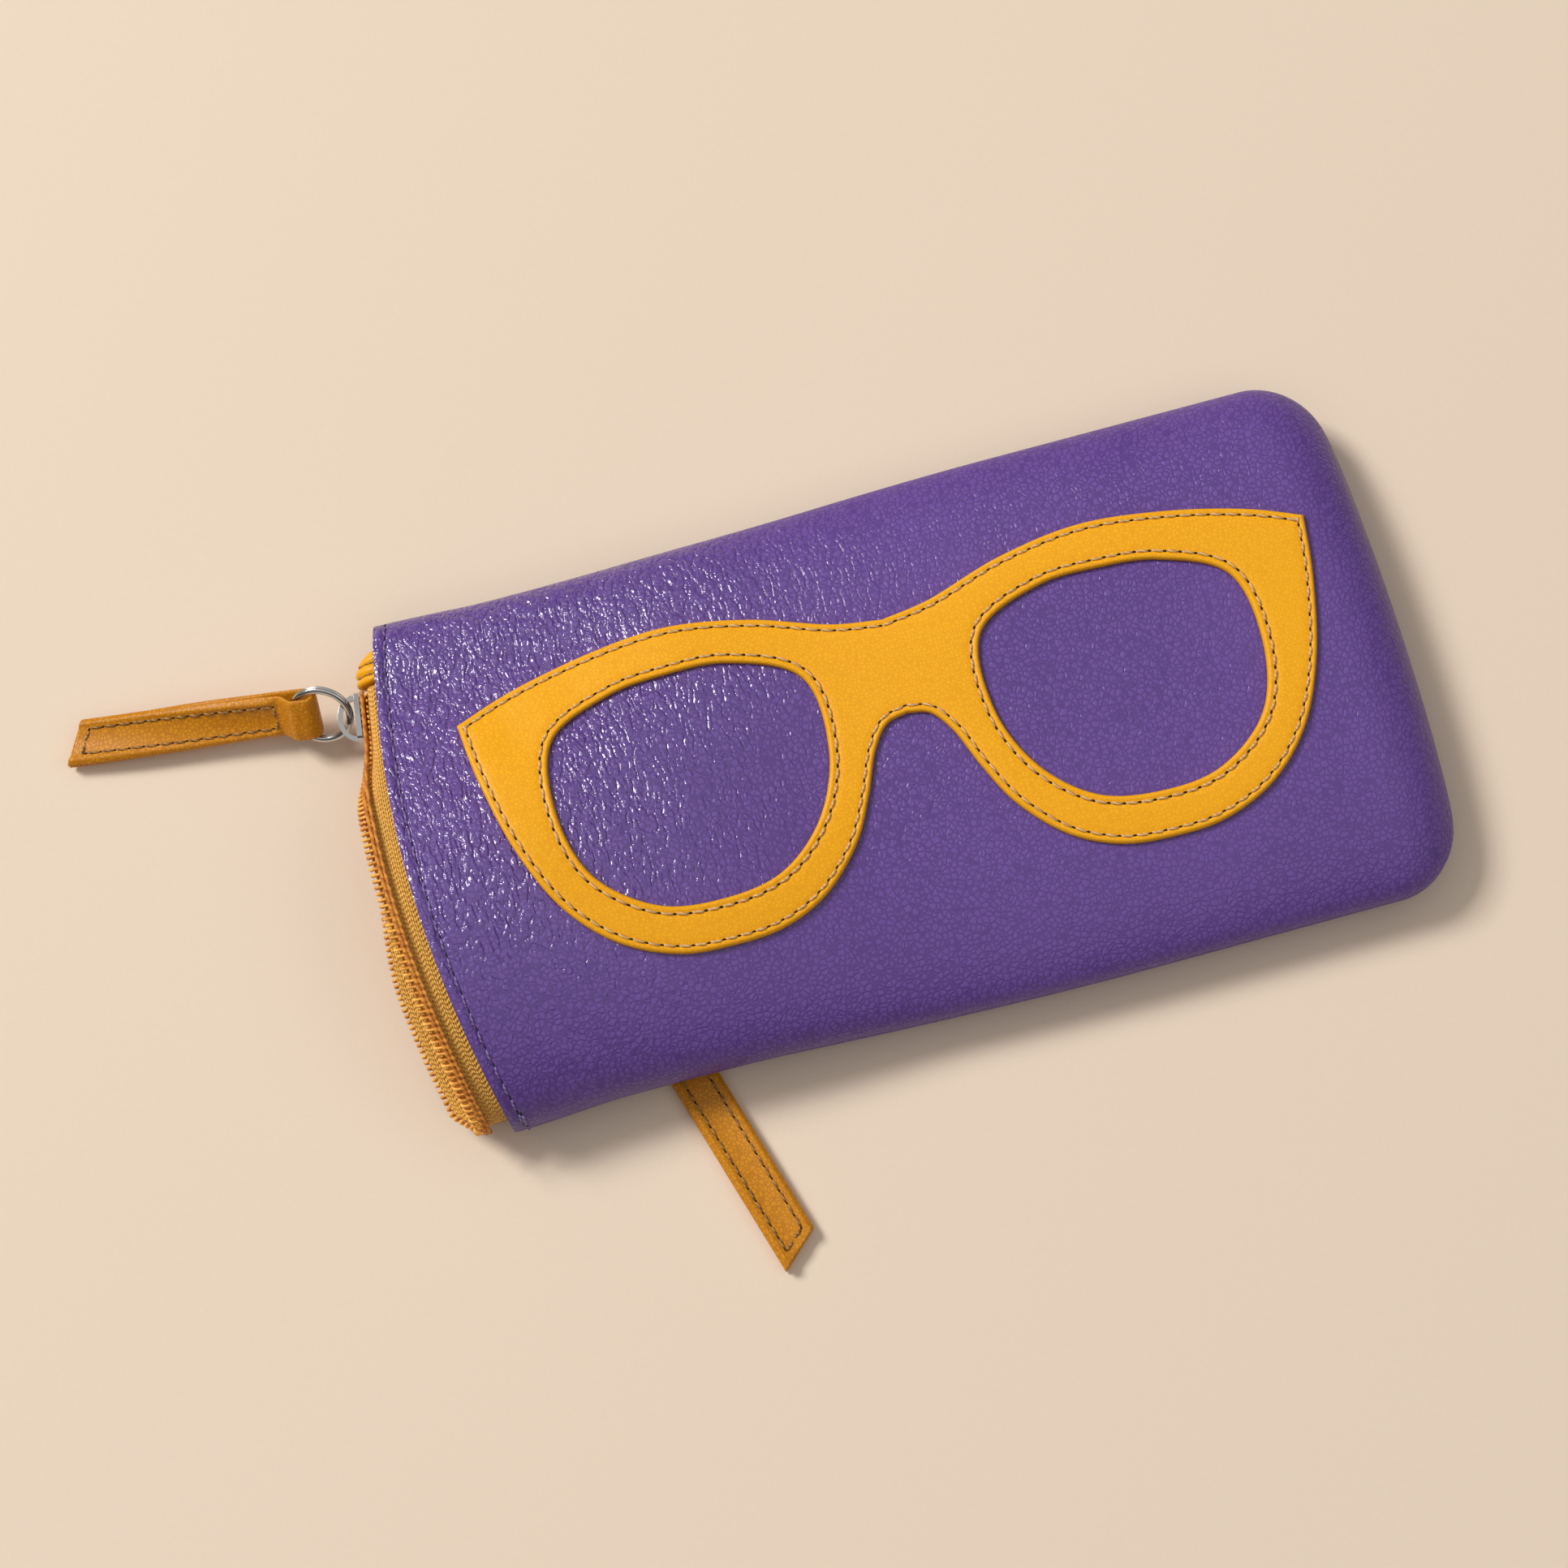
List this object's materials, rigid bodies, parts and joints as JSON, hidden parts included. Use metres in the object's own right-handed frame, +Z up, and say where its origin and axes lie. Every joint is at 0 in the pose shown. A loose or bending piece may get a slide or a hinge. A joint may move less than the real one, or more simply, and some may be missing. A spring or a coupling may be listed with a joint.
{
  "type": "multi glasses organizer",
  "caption": "Padded leather zip case for several pairs of glasses, with a glasses-shaped patch, a flat zipped back pocket and folded leather zip pulls.",
  "frame": {"origin": "centre of the flat back face that the case lies on, in the case's middle in plan", "axes": "+X from the zipped mouth to the closed end, +Y across the width, +Z up through the front panel"},
  "size_m": [0.2475, 0.1371, 0.028],
  "materials": {
    "purple_leather": "pebbled, semi-gloss",
    "padding_foam": "matt foam and batting",
    "lining_cloth": "soft matt cloth",
    "yellow_leather": "fine pebbled, semi-gloss",
    "tan_thread": "twisted thread",
    "purple_thread": "twisted thread",
    "ochre_thread": "twisted thread",
    "zip_tape": "woven herringbone tape",
    "zip_coil": "coil monofilament",
    "nickel": "bright nickel plate",
    "ochre_leather": "fine grained, rolled edges"
  },
  "bodies": {
    "case": {"front_panel": "purple_leather", "back_panel": "purple_leather", "front_padding": "padding_foam", "back_padding": "padding_foam", "front_lining": "lining_cloth", "back_lining": "lining_cloth", "pocket_lining": "lining_cloth", "glasses_applique": "yellow_leather", "applique_edge_thread": "tan_thread", "applique_left_eye_thread": "tan_thread", "applique_right_eye_thread": "tan_thread", "front_lip_thread": "purple_thread", "back_lip_thread": "purple_thread", "mouth_zip_front_tape": "zip_tape", "mouth_zip_back_tape": "zip_tape", "mouth_zip_front_coil": "zip_coil", "mouth_zip_back_coil": "zip_coil", "mouth_zip_end_cap": "yellow_leather", "mouth_zip_cap_thread_near": "ochre_thread", "mouth_zip_cap_thread_far": "ochre_thread", "pocket_zip_outer_tape": "zip_tape", "pocket_zip_inner_tape": "zip_tape", "pocket_zip_outer_coil": "zip_coil", "pocket_zip_inner_coil": "zip_coil", "pocket_window_thread": "purple_thread"},
    "mouth_slider": {"mouth_slider": "nickel"},
    "mouth_ring": {"mouth_pull_ring": "nickel"},
    "mouth_tab": {"mouth_pull_tab": "ochre_leather", "mouth_pull_thread": "ochre_thread"},
    "pocket_slider": {"pocket_slider": "nickel"},
    "pocket_ring": {"pocket_pull_ring": "nickel"},
    "pocket_tab": {"pocket_pull_tab": "ochre_leather", "pocket_pull_thread": "ochre_thread"}
  },
  "joints": [
    {"name": "mouth_slider_travel", "type": "hinge", "parent": "case", "child": "mouth_slider", "pos_m": [0.11475, 0.003, 0], "axis": [0, 0, 1], "range_deg": [0, 19.5], "deforming": ["mouth_zip_front_tape", "mouth_zip_back_tape", "mouth_zip_front_coil", "mouth_zip_back_coil"]},
    {"name": "mouth_pull_swing", "type": "hinge", "parent": "mouth_slider", "child": "mouth_ring", "pos_m": [-0.09862, 0.03419, 0.00915], "axis": [0.1683, 0.6508, 0.7403], "range_deg": [0, 90]},
    {"name": "mouth_tab_swing", "type": "hinge", "parent": "mouth_ring", "child": "mouth_tab", "pos_m": [-0.10909, 0.03748, 0.00764], "axis": [0.0416, 0.6906, 0.722], "range_deg": [-20, 10]},
    {"name": "pocket_slider_travel", "type": "slide", "parent": "case", "child": "pocket_slider", "axis": [0, 1, 0], "range_m": [0, 0.064], "deforming": ["pocket_zip_outer_tape", "pocket_zip_inner_tape", "pocket_zip_outer_coil", "pocket_zip_inner_coil"]},
    {"name": "pocket_pull_swing", "type": "hinge", "parent": "pocket_slider", "child": "pocket_ring", "pos_m": [-0.0602, -0.0332, 0.00205], "axis": [0.8131, 0.5822, 0], "range_deg": [0, 150]},
    {"name": "pocket_tab_swing", "type": "hinge", "parent": "pocket_ring", "child": "pocket_tab", "pos_m": [-0.05541, -0.04304, 0.00194], "axis": [0.96, 0.28, 0], "range_deg": [-10, 5]}
  ]
}
